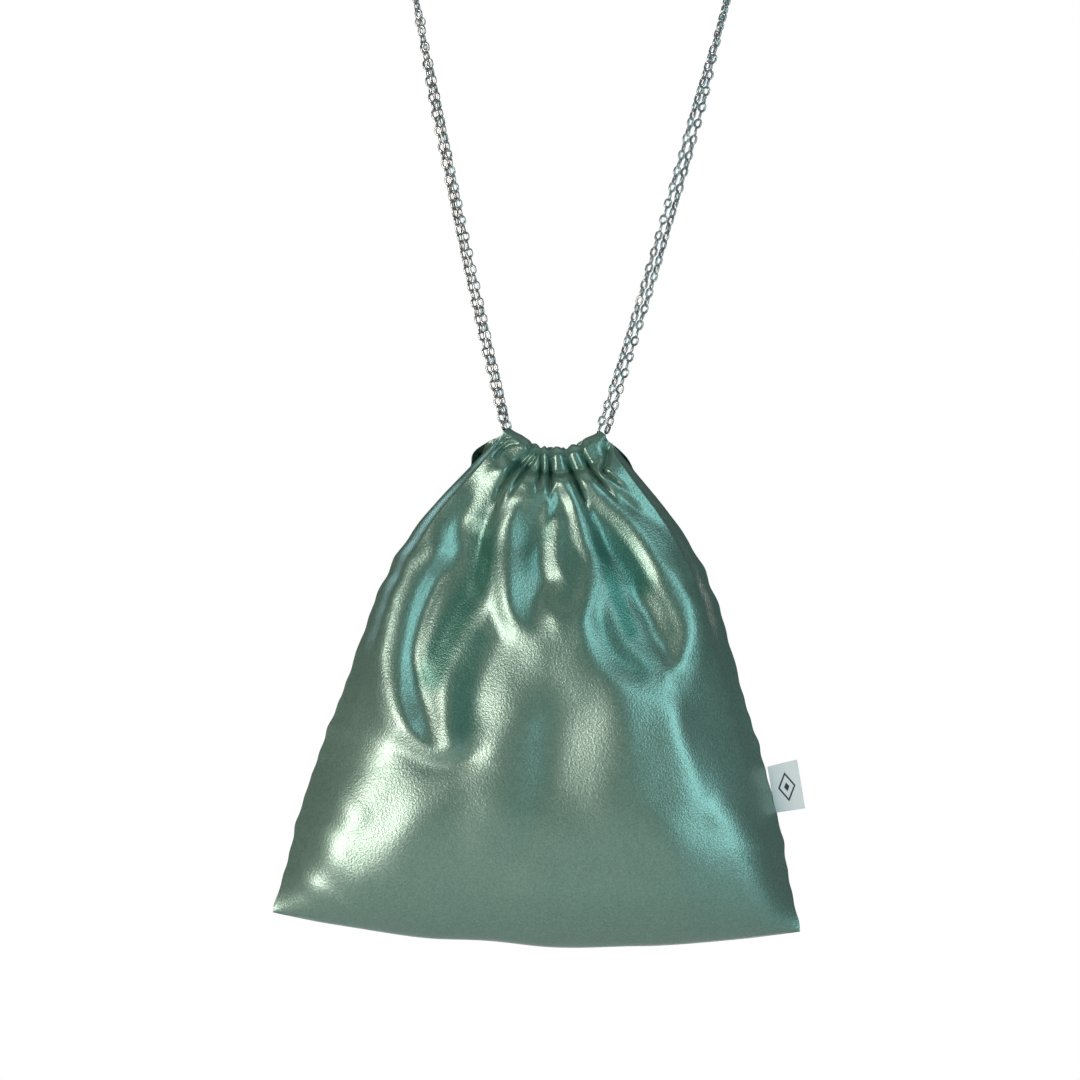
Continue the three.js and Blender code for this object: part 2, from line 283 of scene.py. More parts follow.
FRONT_SHEENS = [
    # Round the left pouch.
    (WARM, 0.46, 5, [(-23.5, -318), (-34, -322), (-45, -331), (-51, -340), (-54.5, -345.5),
      (-58, -351.5), (-61.5, -361.5), (-66, -371.5), (-69.5, -382.5), (-71.5, -393.5), (-72.5, -404.5),
      (-72.5, -415.5), (-71.5, -426), (-68.5, -435), (-63.5, -442)]),
    (DOWN, 0.65, 4, [(-65, -441), (-60, -445), (-53, -448.5), (-46.5, -449), (-39.5, -447.5),
      (-31.5, -442)]),
    (BROAD_WARM, 0.55, 6.8, [(-29.5, -440.5), (-24.5, -433.5), (-21.5, -425.5), (-20.5, -414.5),
      (-16, -403), (-13, -396)]),
    (COOL, 0.75, 6, [(-41.5, -329), (-47.5, -337), (-49, -345.5), (-47.5, -353.5), (-50.5, -358.5),
      (-57, -364.5), (-60.5, -373), (-63.5, -382.5), (-66, -393.5), (-67.5, -404), (-66, -415),
      (-63, -425.5), (-58, -433)]),
    # The fold inside the left pouch.
    (WARM, 0.55, 4, [(-31, -370), (-33, -381), (-38, -390.5), (-44, -397.5), (-49, -405.5),
      (-51, -414.5), (-51.5, -424), (-50.5, -432.5), (-47, -440.5)]),
    # Left of the small pouch.
    (WARM, 0.6, 4, [(-14.5, -322.5), (-19.5, -328.5), (-21, -335.5), (-23, -342.5), (-24, -352),
      (-24, -362.5), (-23, -373.5), (-21, -382.5), (-16.5, -390), (-11.5, -394.5)]),
    (DOWN, 0.4, 2.2, [(-20, -328.5), (-14.5, -330.5), (-8.5, -330), (-3.5, -326.5)]),
    (COOL, 0.42, 5.5, [(-8.5, -333), (-14, -338), (-16.5, -344.5), (-17.5, -353.5), (-16, -364),
      (-13.5, -375), (-9, -383)]),
    (COOL, 0.4, 5, [(-5.5, -357), (-6.5, -367.5), (-8.5, -377.5)]),
    # Between the small pouch and the next.
    (WARM, 0.5, 3.6, [(0.5, -340), (-0.5, -347.5), (-1, -355), (0.5, -361), (3.5, -366),
      (0.5, -371), (-2.5, -375.5), (-3, -381), (-1.5, -386)]),
    (DOWN, 0.5, 4, [(-1, -387), (3, -390.5), (8, -390.5), (11.5, -385.5)]),
    (WARM, 0.36, 4, [(11.5, -385), (14.5, -377.5), (16.5, -370), (18.5, -363)]),
    # Left of the right pouch.
    (WARM, 0.42, 2.8, [(1.5, -319.5), (4, -324), (7.5, -328.5), (9.5, -334), (11.5, -341.5),
      (14, -348.5), (18, -355)]),
    # Round the right pouch.
    (COOL, 0.5, 4.2, [(8, -320), (12.5, -328), (15, -334), (17.5, -341), (20, -349.5),
      (22.5, -356.5), (22.5, -366.5), (21.5, -375.5), (20.5, -384), (22.5, -392), (25.5, -398),
      (29.5, -403.5), (35, -407.5), (42, -411), (49.5, -413.5), (54.5, -414.5), (59.5, -411.5),
      (65, -404.5), (68, -395.5), (68.5, -386.5), (66.5, -380.5), (62, -372), (57.5, -365), (53.5, -356.5),
      (49.5, -349), (45, -343), (39, -336.5), (31.5, -332), (25.5, -325.5), (22, -320.5)]),
    (WARM, 0.52, 4.4, [(17.5, -323.5), (24, -331), (31, -337), (37.5, -344), (43, -351.5),
      (48.5, -359.5), (53.5, -365.5), (58.5, -372.5), (61.5, -379.5), (63, -386), (62.5, -392.5),
      (60, -397)]),
    # Folds inside the right pouch.
    (WARM, 0.5, 5, [(46, -370.5), (52, -379.5), (55, -389.5)]),
    (COOL, 0.42, 3.6, [(25, -356.5), (27.5, -363.5), (31, -372.5), (35, -380.5), (40, -387.5),
      (44.5, -393), (48.5, -400), (51.5, -407)]),
    # Short folds below the casing.
    (WARM, 0.42, 2.2, [(22.5, -316.5), (29, -321), (36, -326.5), (40.5, -330)]),
    (COOL, 0.35, 4, [(32, -318), (39.5, -324.5), (45.5, -330.5), (51.5, -334.5)]),
    (WARM, 0.8, 3.4, [(-35, -341.5), (-30.5, -341.5), (-26, -339), (-23.5, -335.5)]),
    # The floors of the pouches.
    (COOL, 0.02, 5, [(-34.5, -335), (-37.5, -350), (-43.5, -371.5), (-52, -394), (-52, -404)]),
    (WARM, 0.05, 6, [(-32.5, -387.5), (-37.5, -401), (-37.5, -430.5)]),
    (COOL, 0.04, 3.6, [(24.5, -338), (32.5, -351), (39.5, -361)]),
    (COOL, 0.04, 3.2, [(26.5, -379.5), (32.5, -395), (43, -403)]),
    (WARM, 0.05, 3.6, [(8, -342), (9, -357), (9, -373.5)]),
    # Across the middle.
    (BROAD_WARM, 0.62, 12, [(-6, -396), (-8.5, -405), (-14, -415), (-21, -424)]),
    (BROAD_WARM, 0.27, 14, [(7.5, -398.5), (12, -416), (19.5, -429.5), (19.5, -446)]),
    (BROAD_COOL, 0.2, 14, [(-8, -427), (-11, -440), (-12.5, -454.5)]),
    (BROAD_COOL, 0.1, 9, [(49.5, -420.5), (52.5, -438), (61.5, -460.5)]),
]

# Steep sides of folds: the way each faces, its slope and the width of one side, and a line.
FRONT_WALLS = [
    ((-1, 0), 1.1, 2.2, [(-24, -323), (-27.5, -337.5), (-30, -352), (-30.5, -367.5), (-30.5, -375.5)]),
    ((1, 0.2), 1, 2.2, [(16, -330), (23.5, -350), (26, -354.5)]),
    ((1, 0), 0.6, 2, [(1, -324), (0, -331.5), (-1.5, -337.5)]),
]

# Low swellings near the bottom: a line, how high and how wide on one side.
FRONT_SWELLS = [
    ([(-106, -458), (-88, -478)], 0.7, 11),
    ([(-108, -486), (-84, -508)], 0.6, 10),
    ([(-113, -508), (-90, -524)], 0.9, 7),
    ([(106, -486), (84, -470)], 0.5, 10),
    ([(0, -512), (60, -515)], 1.2, 22),
]

# Painted shade where the cloth lies deepest between the folds: a line, how dark (1 is darkest) and how
# wide.
FRONT_PAINTED_SHADES = [
    ([(-26.5, -317.5), (-30.5, -330.5), (-31, -348), (-32.5, -365.5), (-42.5, -385.5), (-49, -401),
      (-53, -412)], 0.95, 12),
    ([(-33.5, -394), (-37.5, -411), (-36.5, -434.5)], 0.7, 11),
    ([(-10, -332), (-9, -345), (-9, -360)], 0.6, 8),
    ([(-0.5, -322.5), (0, -335), (-2, -346)], 0.9, 4.5),
    ([(8, -342), (10, -356), (8, -371.5)], 0.5, 8),
    ([(13.5, -322.5), (22.5, -348), (30.5, -368.5), (38.5, -388.5)], 1, 6),
    ([(23.5, -333), (28.5, -341), (37.5, -358), (43, -366.5)], 0.9, 12),
    ([(26.5, -384.5), (33.5, -397), (45, -406)], 0.6, 9),
]


def near_line(x, z, points):
    """For each point: its distance from the line, signed by side, and how far along the line it is."""
    line = smooth_curve(points, 12 * len(points))
    along = directions(line)
    gap_x = x[..., None] - line[:, 0]
    gap_z = z[..., None] - line[:, 1]
    nearest = (gap_x**2 + gap_z**2).argmin(axis=-1)
    gap_x, gap_z = (np.take_along_axis(a, nearest[..., None], -1)[..., 0] for a in (gap_x, gap_z))
    beside = along[nearest, 0] * gap_z - along[nearest, 1] * gap_x
    beyond = along[nearest, 0] * gap_x + along[nearest, 1] * gap_z
    at_end = (nearest == 0) | (nearest == len(line) - 1)
    distance = np.where(at_end, np.hypot(beside, beyond), np.abs(beside))
    return np.where(beside < 0, -distance, distance), nearest / (len(line) - 1)


def bump(distance, width):
    return np.clip(1 - (distance / width) ** 2, 0, None) ** 2


def gather_width(z):
    """Folds are narrow where they leave the casing and widen below it."""
    return 0.6 + 0.4 * smoothstep(-z, 315, 350)


def wanted_slopes(x, z, base):
    """What the folds should add to the smooth panel's slopes, as (dx, dz), and how much each place
    is held to it."""
    total, weights = np.zeros((*x.shape, 2)), np.zeros_like(x)
    for facing, slope, width, points in [*FRONT_SHEENS, *FRONT_WALLS]:
        line = smooth_curve(points, 12 * len(points))
        along = directions(line)
        nearest = ((x[..., None] - line[:, 0]) ** 2 + (z[..., None] - line[:, 1]) ** 2).argmin(axis=-1)
        distance = np.hypot(x - line[nearest, 0], z - line[nearest, 1])
        across = np.stack([along[:, 1], -along[:, 0]], axis=1)
        turned = across * np.tanh(6 * (across @ facing))[:, None] + 0.8 * np.array(facing)
        turned /= np.linalg.norm(turned, axis=1)[:, None]
        weight = bump(distance, 1.7 * width * gather_width(z))
        total += weight[..., None] * (-slope * turned[nearest] - base)
        weights += weight
    return total / np.maximum(weights, 1e-6)[..., None], np.minimum(weights, 1)[..., None]


def heights_from_slopes(slopes, spacing, reach):
    """The height field whose slopes are nearest to these. Heights even out over the reach."""
    rows, columns = slopes.shape[:2]
    mirrored = np.zeros((2 * rows, 2 * columns), complex)
    for axis, count in ((1, columns), (0, rows)):
        part = slopes[..., 1 - axis]
        part = np.concatenate([part, part[::-1] * (-1 if axis == 0 else 1)], axis=0)
        part = np.concatenate([part, part[:, ::-1] * (-1 if axis == 1 else 1)], axis=1)
        k = np.fft.fftfreq(2 * count, spacing) * 2 * math.pi
        k = k[None, :] if axis == 1 else k[:, None]
        mirrored += -1j * k * np.fft.fft2(part)
    kx = np.fft.fftfreq(2 * columns, spacing)[None, :] * 2 * math.pi
    kz = np.fft.fftfreq(2 * rows, spacing)[:, None] * 2 * math.pi
    return np.fft.ifft2(mirrored / (kx**2 + kz**2 + 1 / reach**2)).real[:rows, :columns]


FOLD_REACH = 45
FOLD_PASSES = 5


def fold_height(x, z):
    """Height of the folds above the smooth panel, seen from the front. Each pass lets the cloth that
    isn't held follow half of the slope it was given by the pass before."""
    spacing = 0.8
    across, down = np.arange(-130, 130, spacing), np.arange(-545, -285, spacing)
    grid_x, grid_z = np.meshgrid(across, down)
    base = belly(*panel_place(grid_x, grid_z))
    base_slope = np.stack(np.gradient(base, spacing)[::-1], axis=-1)
    wanted, held = wanted_slopes(grid_x, grid_z, base_slope)
    heights = heights_from_slopes(held * wanted, spacing, FOLD_REACH)
    for _ in range(FOLD_PASSES):
        free = 0.5 * np.stack(np.gradient(heights, spacing)[::-1], axis=-1)
        heights = heights_from_slopes(held * wanted + (1 - held) * free, spacing, FOLD_REACH)
    column, row = (x - across[0]) / spacing, (z - down[0]) / spacing
    c, r = np.clip(column.astype(int), 0, len(across) - 2), np.clip(row.astype(int), 0, len(down) - 2)
    fc, fr = column - c, row - r
    total = ((heights[r, c] * (1 - fc) + heights[r, c + 1] * fc) * (1 - fr)
             + (heights[r + 1, c] * (1 - fc) + heights[r + 1, c + 1] * fc) * fr)
    for points, height, width in FRONT_SWELLS:
        distance, _ = near_line(x, z, points)
        total += height * bump(distance, width)
    return total


def soften(grid, times):
    """Smooths a grid of heights, as cloth that won't crease sharply."""
    for _ in range(times):
        padded = np.pad(grid, 1, mode="edge")
        grid = (grid * 4 + padded[:-2, 1:-1] + padded[2:, 1:-1] + padded[1:-1, :-2] + padded[1:-1, 2:]) / 8
    return grid


WRINKLE_CENTRE_Z = -270


def wrinkle(x, z, seed):
    """Faint wrinkles that run down from the neck and in from the bottom corners."""
    values = np.empty(x.size)
    for i, (a, b) in enumerate(zip(x.ravel(), z.ravel())):
        angle = math.atan2(a, WRINKLE_CENTRE_Z - b)
        reach = math.hypot(a, b - WRINKLE_CENTRE_Z)
        values[i] = (noise.noise((angle * 9, reach * 0.022, seed))
                     + 0.5 * noise.noise((a * 0.06, b * 0.05, seed + 9)))
    return values.reshape(x.shape)


# ---- Gathers, where the cloth is bunched on the chain ----

# Creases between the bunched pleats of the front: lines (x, z) walked down from the casing's top
# edge, with their depth (1 is the whole pleat) and the width of one side.
CREASES = [
    ([(-29.5, -296), (-29, -306)], 0.7, 3.4),
    ([(-7, -298), (-9.3, -304), (-13.5, -309.5), (-18.5, -315), (-23, -322), (-26, -331),
      (-28, -342)], 1, 3.8),
    ([(-6, -300), (-8, -307), (-11, -312), (-15, -318), (-18.5, -324), (-22, -331)], 0.8, 2.6),
    ([(-5.6, -298), (-6.2, -306), (-5.8, -314), (-6.5, -321), (-8, -328)], 0.8, 2.2),
    ([(-2.4, -298), (-1.7, -308), (-1.2, -316), (-0.9, -324), (-1, -332)], 1, 3.0),
    ([(4.6, -298), (5.4, -305), (7.8, -313), (12.5, -323), (17, -333), (21, -344)], 1, 3.4),
    ([(9.5, -295), (12, -303), (15.5, -310), (19.5, -316), (27, -324), (35, -332)], 0.8, 2.8),
    ([(25.5, -298), (25, -309), (23.5, -314), (29, -318), (37, -324)], 0.8, 2.8),
    ([(-27, -305), (-22.5, -300.5), (-16, -300.5)], 0.35, 1.7),
    ([(-27, -309), (-22, -303.8), (-14, -303.6)], 0.45, 2.0),
]
# The casing's section, from its lower edge up the outside, over the top and down the inside:
# distance out and up from the chain, in millimetres, on a pleat and in a crease.
PLEAT_SECTION = [(4.4, -6.75), (4.8, -3.5), (5.0, -0.6), (5.1, 1.8), (4.8, 2.8), (4.1, 2.4),
                 (3.4, 0.8), (2.9, -0.4), (2.5, 0.8), (2.0, 3.0), (0.5, 5.8), (-0.9, 7.0),
                 (-1.9, 6.3), (-2.6, 2), (-2.5, -2), (-1.6, -6)]
CREASE_SECTION = [(-1.2, -6.75), (0.4, -4), (1.8, -1.6), (2.2, 0), (2.1, 1.4), (1.7, 2.6),
                  (1.1, 3.6), (0.7, 4.3), (0.3, 4.7), (0, 5.0), (-0.3, 5.1), (-0.8, 5.0),
                  (-1.7, 4), (-2.4, 1.5), (-2.3, -2), (-1.4, -6)]
# The hollow in the top of a pleat, where shade is painted: where it starts and ends along the section.
POCKET_SHADE_SPAN = (0.28, 0.5)
CASING_ROWS = 72
CASING_POINTS = 400
CASING_END_WIDENING = 3.5


def pleat_wave(face, x, z):
    """1 on top of a pleat and 0 in the crease between two."""
    crease = np.zeros_like(x)
    for points, depth, width in CREASES:
        distance, t = near_line(-face * x, z, points)
        groove = np.clip(1 - np.abs(distance) / (1.2 * width * (1 - 0.25 * t)), 0, None) ** 2.2
        crease = np.maximum(crease, depth * (1 - smoothstep(t, 0.55, 1)) * groove)
    return 1 - crease


# ---- Panels ----

SIDE_SEAM = [(124, 0), (117.4, 28), (112, 52), (104.5, 77), (95, 105), (86, 134), (75.5, 163), (61, 187),
             (45, 206), (34.5, 217), (27.4, 225.3)]
ROWS, COLUMNS = 230, 280


def panel_columns():
    """Where the columns of points are, from -1 at the left seam to 1 at the right one."""
    even = np.linspace(-1, 1, COLUMNS)
    return 0.4 * np.sin(even * math.pi / 2) + 0.6 * even


def casing_frames(face, at):
    """The casing's centreline and its upward direction, at shares of its length from 0 to 1."""
    centre = smooth_curve(casing_route(face), CASING_POINTS)
    up = np.cross(directions(centre), (0, 1, 0))
    up /= np.linalg.norm(up, axis=1)[:, None]
    index = at * (CASING_POINTS - 1)
    return [np.stack([np.interp(index, np.arange(CASING_POINTS), a[:, k]) for k in range(3)], axis=1)
            for a in (centre, up)]


def sag(u, v):
    return (1 - u * u) * (BOTTOM_SAG * (1 - v) ** 3 + NECK_SAG * v**6)


def belly(u, v):
    """How far the smooth panel stands out from the seams."""
    depth = DEPTH * np.sin(math.pi * np.minimum(v**0.75, 1)) ** 0.7 * (1 - 0.2 * smoothstep(v, 0.5, 0.85))
    out = np.linspace(0, 1, 200)
    u = np.abs(u) ** (1 + 1.1 * smoothstep(0.32 - v, 0, 0.32))
    two_steps = 0.26 * smoothstep(out, 0.3, 0.55) + 0.74 * smoothstep(out, 0.62, 1)
    one_step = smoothstep(out, 0.44, 0.7)
    low, high = (1 - np.interp(u, out, np.cumsum(s) / s.sum()) for s in (two_steps, one_step))
    upper = smoothstep(v, 0.22, 0.42)
    low = (1 - upper) * low + upper * high
    shoulder = smoothstep(v, 0.45, 0.85)
    return depth * ((1 - shoulder) * low + shoulder * (1 - u**2.2))


def panel_place(x, z):
    """The place (u, v) on a panel of a point seen from the front."""
    seam = smooth_curve(SIDE_SEAM, ROWS)
    rows = np.linspace(0, 1, ROWS)
    v = np.clip((z - CORNER_Z) / seam[-1, 1], 0.001, 0.999)
    for _ in range(8):
        u = np.clip(x / np.interp(v, rows, seam[:, 0]), -1, 1)
        v = np.clip(v + (z - CORNER_Z - np.interp(v, rows, seam[:, 1]) + sag(u, v)) / 235, 0.001, 0.999)
    return u, v


def smooth_panel(face):
    """Grid of points of a panel without its folds."""
    v = np.linspace(0, 1, ROWS)[:, None]
    u = panel_columns()[None, :]
    seam = smooth_curve(SIDE_SEAM, ROWS)
    centre, up = casing_frames(face, (u[0] + 1) / 2)
    neck = centre - up * CASING_HALF_HEIGHT
    x = seam[:, :1] * u
    y = face * (SEAM_GAP / 2 + belly(u, v))
    z = CORNER_Z + seam[:, 1:] - sag(u, v)
    body = np.stack([x, y, z], axis=-1)
    blend = smoothstep(v, 0.82, 1)[..., None]
    return body * (1 - blend) + neck[None] * blend, u * np.ones_like(v), v * np.ones_like(u)


def pucker(along, seed):
    """Small unevenness along a seam."""
    return np.array([noise.noise((value, seed, 0)) for value in along])


def flare(face, x, z):
    """How far the ends of the back casing stand out beyond the front's."""
    if face == FRONT:
        return np.zeros_like(x)
    return np.where(x < 0, -5.5, 2.5) * smoothstep(np.abs(x), 14, 27) * bump(z + 306, 9)


# Painted shade in the hollows between the front's folds: how dark each point is, from 0 to 1.
def painted_shade_between_folds(x, z):
    depth = np.zeros_like(x)
    for points, shade_strength, width in FRONT_PAINTED_SHADES:
        distance, _ = near_line(x, z, points)
        depth = np.maximum(depth, shade_strength * smoothstep(width - np.abs(distance), 0, 0.8 * width))
    return depth


def panel_grid(face):
    """A panel with its folds, from the bottom seam up to the casing's lower edge: a grid of points, and
    the painted shade of each one, from 0 to 1, darkest deep in the folds."""
    points, u, v = smooth_panel(face)
    x, z = points[..., 0], points[..., 2]
    height = soften(fold_height(-face * x, z) + 0.6 * wrinkle(x, z, 3.0 + face), 4)
    at_neck = smoothstep(v, 0.74, 0.95)
    edge = smoothstep(1 - np.abs(u), 0, 0.1) * smoothstep(v, 0, 0.1)
    wave = pleat_wave(face, x, z)
    gathers = CREASE_SECTION[0][0] + (PLEAT_SECTION[0][0] - CREASE_SECTION[0][0]) * wave
    points[..., 1] += face * (height * edge * (1 - smoothstep(v, 0.9, 1)) + gathers * at_neck)
    points[..., 0] += flare(face, x, z)
    below_neck = 1 - smoothstep(v, 0.8, 0.95)
    points[..., 0] += 1.1 * pucker(v[:, 0] * 26, 5)[:, None] * u * np.abs(u) ** 6 * below_neck
    points[..., 2] += 2.2 * pucker(u[0] * 2.6, 8)[None] * (1 - v) ** 8 * (1 - u**2)
    # Painted shade: darker in the hollows between the folds and in the creases of the gathers, and a light
    # even shade over the upper part of the panel.
    painted_shade = np.maximum(painted_shade_between_folds(-face * x, z) * (1 - at_neck), 0.65 * (1 - wave) * at_neck)
    painted_shade = np.maximum(painted_shade, 0.25 * smoothstep(v, 0.38, 0.62))
    return points, painted_shade


def casing_grid(face):
    """The top of the panel, folded over the chain and stitched down; its first row is the panel's last.
    Also the painted shade of each point, darkest in the creases between pleats."""
    arc = (panel_columns() + 1) / 2
    centre, up = casing_frames(face, arc)
    rise = 0.85 - 0.2 * np.abs(2 * arc - 1) ** 3
    pleat, crease = (smooth_curve(section, CASING_ROWS) for section in (PLEAT_SECTION, CREASE_SECTION))
    points, painted_shade = [], []
    for t, on_pleat, in_crease in zip(np.linspace(0, 1, CASING_ROWS), pleat, crease):
        middle = centre + up * (on_pleat[1] + in_crease[1]) / 2
        wave = pleat_wave(face, middle[:, 0], middle[:, 2])[:, None]
        section = in_crease + (on_pleat - in_crease) * wave
        height = np.where(section[:, 1] > 0, section[:, 1] * rise, section[:, 1])
        row = centre + up * height[:, None]
        row[:, 1] += face * section[:, 0]
        at_end = smoothstep(np.abs(2 * arc - 1), 0.8, 1) * smoothstep(section[:, 1], -5, 3)
        row[:, 0] += np.sign(centre[:, 0]) * CASING_END_WIDENING * at_end
        row[:, 0] += flare(face, row[:, 0], row[:, 2])
        points.append(row)
        # Painted shade: a light shade over the whole casing, darker in the creases between pleats and in
        # the hollow on top of each pleat.
        pocket_shade = smoothstep(t, POCKET_SHADE_SPAN[0], POCKET_SHADE_SPAN[0] + 0.05)
        pocket_shade *= 1 - smoothstep(t, POCKET_SHADE_SPAN[1] - 0.05, POCKET_SHADE_SPAN[1])
        painted_shade.append(np.maximum(0.25 + 0.5 * (1 - wave[:, 0]), 0.5 * pocket_shade * wave[:, 0]))
    return np.array(points), np.array(painted_shade)


def ease_join(points, row, reach=16, times=60):
    """Smooths the cloth along its length on both sides of a row."""
    rows = np.arange(len(points))
    share = bump(rows - row, reach)[:, None, None] * 0.5
    for _ in range(times):
        middle = points.copy()
        middle[1:-1] = (points[:-2] + points[2:]) / 2
        points = points + share * (middle - points)
    return points


def cloth(face):
    name = "front" if face == FRONT else "back"
    panel, panel_painted_shade = panel_grid(face)
    casing, casing_painted_shade = casing_grid(face)
    points = ease_join(np.concatenate([panel[:-1], casing]), ROWS - 1)
    painted_shade = soften(np.concatenate([panel_painted_shade[:-1], casing_painted_shade]), 2)
    piece = mesh_object(f"{name}_panel_and_casing", points.reshape(-1, 3),
                        grid_faces(len(points), COLUMNS, flip=face == BACK))
    # The painted shade goes to the satin material as a point attribute.
    attribute = piece.data.attributes.new("painted_shade", "FLOAT", "POINT")
    attribute.data.foreach_set("value", painted_shade.ravel().astype(np.float32))
    wall = piece.modifiers.new("wall", "SOLIDIFY")
    wall.thickness = 0.35 * MM
    wall.offset = -1
    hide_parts(f"{name}_panel", f"{name}_casing")
    return piece, points[ROWS - 1:]


STITCH_LENGTH, STITCH_GAP, STITCH_RADIUS = 2.2, 0.9, 0.17
STITCH_ROW = 3


def capsule(start, end, radius, sides=8):
    """Points and faces of a short thread between two points."""
    along = (end - start) / np.linalg.norm(end - start)
    side = np.cross(along, (0.3, 0.2, 0.9))
    side /= np.linalg.norm(side)
    other = np.cross(along, side)
    points = []
    for at, size in ((0, 0.35), (0.12, 0.9), (0.5, 1), (0.88, 0.9), (1, 0.35)):
        for a in np.linspace(0, 2 * math.pi, sides, endpoint=False):
            out = radius * size * (math.cos(a) * side + math.sin(a) * other)
            points.append(start + (end - start) * at + out)
    faces = grid_faces(5, sides, wrap=True)
    faces += [tuple(range(sides))[::-1], tuple(range(4 * sides, 5 * sides))]
    return points, faces


def stitches(name, line):
    """A row of stitches along a line of points."""
    reach = np.concatenate([[0], np.cumsum(np.linalg.norm(np.diff(line, axis=0), axis=1))])
    at = lambda r: np.array([np.interp(r, reach, line[:, k]) for k in range(3)])
    points, faces = [], []
    for start in np.arange(0, reach[-1] - STITCH_LENGTH, STITCH_LENGTH + STITCH_GAP):
        new_points, new_faces = capsule(at(start), at(start + STITCH_LENGTH), STITCH_RADIUS)
        faces += [tuple(k + len(points) for k in f) for f in new_faces]
        points += new_points
    return mesh_object(name, points, faces)


cloths, threads = {}, []
for face, name in ((FRONT, "front"), (BACK, "back")):
    cloths[face], casing = cloth(face)
    outside = casing[STITCH_ROW] + np.array([0, face * 0.08, 0])
    thread = stitches(f"{name}_casing_stitches", outside[6:-6])
    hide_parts(f"{name}_casing_stitching")
    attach(thread, f"{name}_lip")
    threads.append(thread)

# ---- Seam allowances, inside the seams ----

ALLOWANCE_INSET, ALLOWANCE_WIDTH = 3.5, 7


def allowance(name, edge, inward):
    """A strip of both panels' cloth between two rows of points: one at the seam, one further in."""
    across = np.linspace(0, 1, 5)
    ripple = np.array([0.35 * noise.noise((i * 0.35, 0, 4)) for i in range(len(edge))])
    points = np.array([[e + (i - e) * a + np.array([0, r * a, 0]) for a in across]
                       for e, i, r in zip(edge, inward, ripple)])
    piece = mesh_object(f"{name}_strip", points.reshape(-1, 3), grid_faces(len(edge), len(across)))
    wall = piece.modifiers.new("wall", "SOLIDIFY")
    wall.thickness = 0.6 * MM
    wall.offset = 0
    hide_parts(name)
    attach(piece, "sack")
    return piece


def side_strip(side):
    seam = smooth_curve(SIDE_SEAM, 200)[14:168]
    edge = np.array([(side * (x - ALLOWANCE_INSET), 0, CORNER_Z + h) for x, h in seam])
    inward = np.array([(side * (x - ALLOWANCE_INSET - ALLOWANCE_WIDTH), 0, CORNER_Z + h) for x, h in seam])
    return allowance("left_seam_allowance" if side == LEFT else "right_seam_allowance", edge, inward)


def bottom_strip():
    u = np.linspace(-0.88, 0.88, 160)
    bottom = CORNER_Z - BOTTOM_SAG * (1 - u * u) + ALLOWANCE_INSET
    edge = np.stack([SIDE_SEAM[0][0] * u, 0 * u, bottom], axis=1)
    return allowance("bottom_seam_allowance", edge, edge + np.array([0, 0, ALLOWANCE_WIDTH]))


strips = [side_strip(LEFT), side_strip(RIGHT), bottom_strip()]

# ---- Label, a woven ribbon folded double and caught in the side seam ----

LABEL_TOP = ((105.8, -449.9), (119.5, -445.9))
LABEL_BOTTOM = ((110.4, -471.4), (124.1, -468.7))


def label():
    rows, columns = 25, 31
    points, places = [], []
    for down in np.linspace(0, 1, rows):
        for out in np.linspace(0, 1, columns):
            top, bottom = ((1 - out) * np.array(edge[0]) + out * np.array(edge[1])
                           for edge in (LABEL_TOP, LABEL_BOTTOM))
            x, z = (1 - down) * top + down * bottom
            y = -1.2 * out**2 - 0.35 * math.sin(math.pi * down) * out
            points.append((x, y, z))
            places.append((out, down))
    piece = mesh_object("side_label_ribbon", points, grid_faces(rows, columns, flip=True))
    uv = piece.data.uv_layers.new(name="place")
    for loop in piece.data.loops:
        uv.data[loop.index].uv = places[loop.vertex_index]
    wall = piece.modifiers.new("wall", "SOLIDIFY")
    wall.thickness = 0.55 * MM
    wall.offset = 0
    soft_edge = piece.modifiers.new("edge", "BEVEL")
    soft_edge.width = 0.15 * MM
    soft_edge.segments = 2
    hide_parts("side_label")
    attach(piece, "label")
    return piece


ribbon = label()

# ---- Materials ----

def material(name):
    made = bpy.data.materials.new(name)
    made.use_nodes = True
    return made, made.node_tree.nodes, made.node_tree.links, made.node_tree.nodes["Principled BSDF"]


